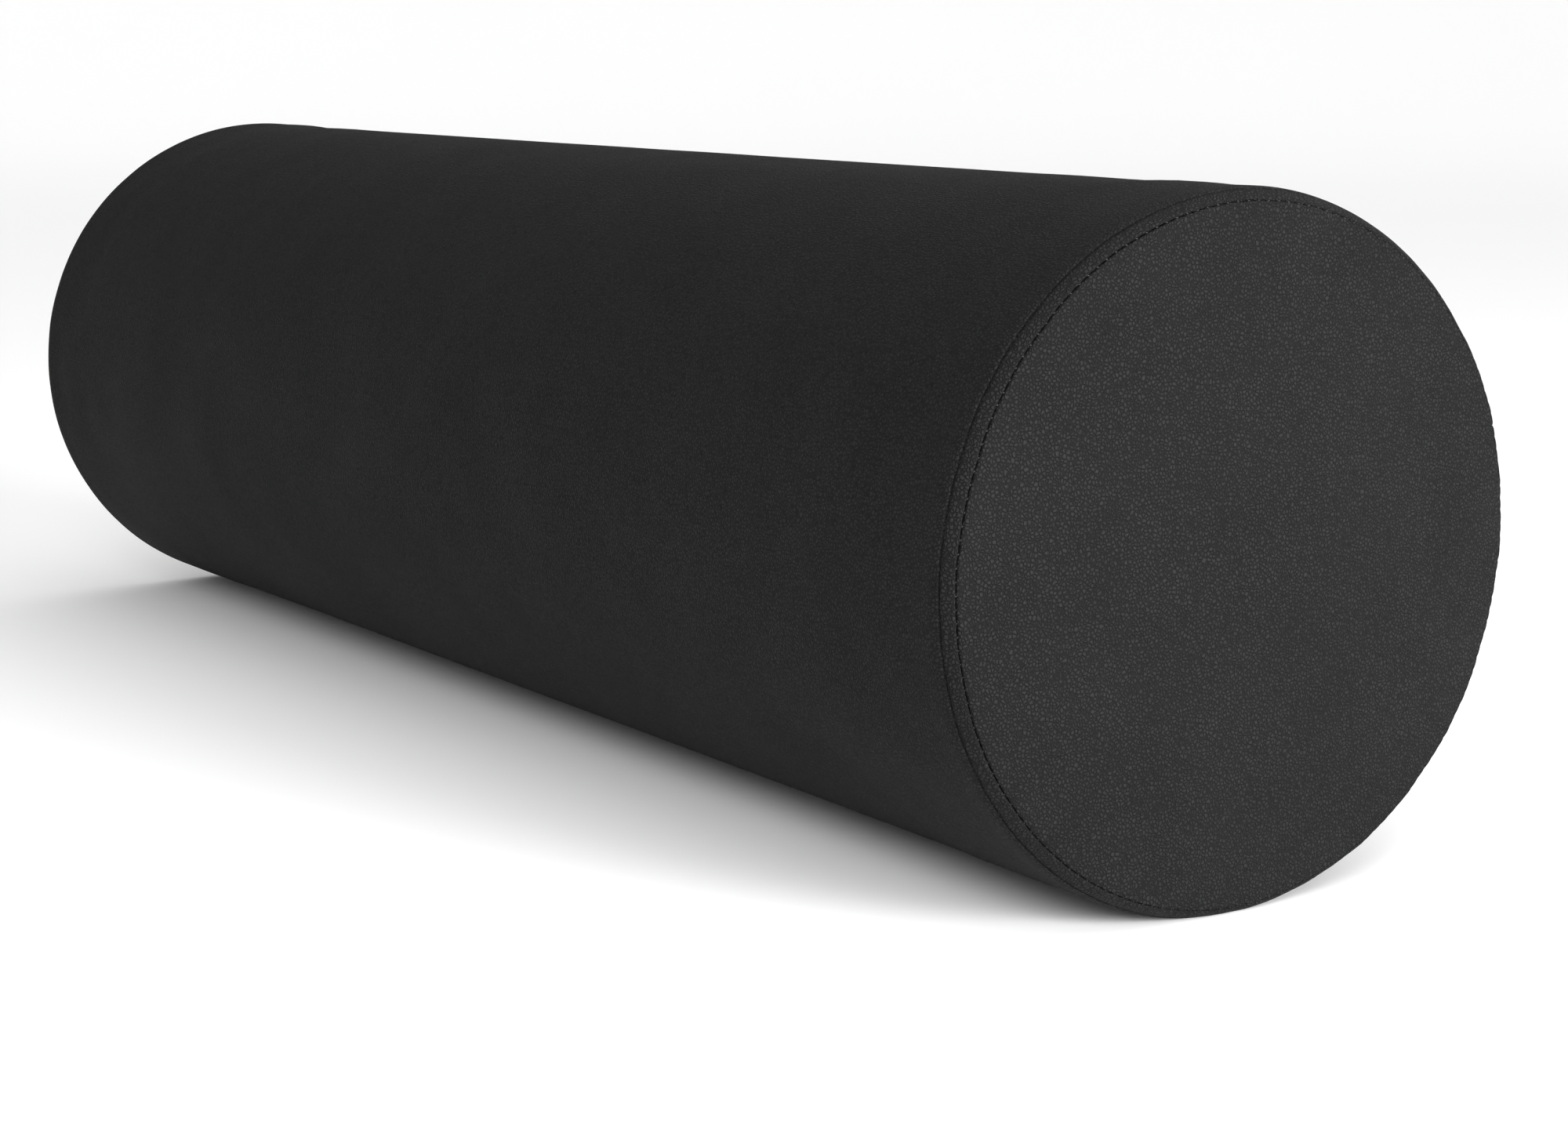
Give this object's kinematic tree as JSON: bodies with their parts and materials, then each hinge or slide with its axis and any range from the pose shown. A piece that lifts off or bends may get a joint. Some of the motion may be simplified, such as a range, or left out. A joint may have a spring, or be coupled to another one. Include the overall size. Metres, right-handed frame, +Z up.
{
  "type": "massage bolster pillow",
  "caption": "Long round massage bolster: a foam cylinder in a sewn black artificial-leather cover with crowned round end panels and a lengthwise zip at the back.",
  "frame": {"origin": "on the floor under the middle of the bolster's length and width, in the plane of its flattened strip", "axes": "+X along the bolster towards its front end, +Y horizontally towards the side with the zip, +Z up"},
  "size_m": [0.66, 0.2, 0.1987],
  "materials": {
    "cover_leather": "near-black matte pebble-grained polyurethane artificial leather",
    "foam": "pale open-cell polyurethane foam",
    "liner_cloth": "thin white non-woven cloth",
    "thread": "black bonded polyester sewing thread",
    "zip_tape": "black woven polyester tape",
    "zip_coil": "black nylon monofilament",
    "zip_stop": "crimped dark-coated metal",
    "zip_metal": "black baked-enamel zinc die casting"
  },
  "bodies": {
    "bolster": {"foam_core": "foam", "liner_sleeve": "liner_cloth", "liner_front_disc": "liner_cloth", "liner_rear_disc": "liner_cloth", "cover_tube_panel": "cover_leather", "cover_front_panel": "cover_leather", "cover_rear_panel": "cover_leather", "front_seam_thread": "thread", "rear_seam_thread": "thread", "closing_seam_thread": "thread", "zip_tape_upper": "zip_tape", "zip_tape_lower": "zip_tape", "zip_coil_upper": "zip_coil", "zip_coil_lower": "zip_coil", "zip_topstitch_upper": "thread", "zip_topstitch_lower": "thread", "zip_top_stops": "zip_stop", "zip_bottom_stop": "zip_stop"},
    "zip_slider": {"zip_slider_body": "zip_metal"},
    "zip_pull": {"zip_pull_tab": "zip_metal"}
  },
  "joints": [
    {"name": "zip_slide", "type": "slide", "parent": "bolster", "child": "zip_slider", "axis": [1, 0, 0], "range_m": [0, 0.534], "deforming": ["zip_coil_upper", "zip_coil_lower"]},
    {"name": "pull_hinge", "type": "hinge", "parent": "zip_slider", "child": "zip_pull", "pos_m": [-0.268, 0.0972, 0.13029], "axis": [0, -0.309, 0.9511], "range_deg": [0, 184]}
  ]
}
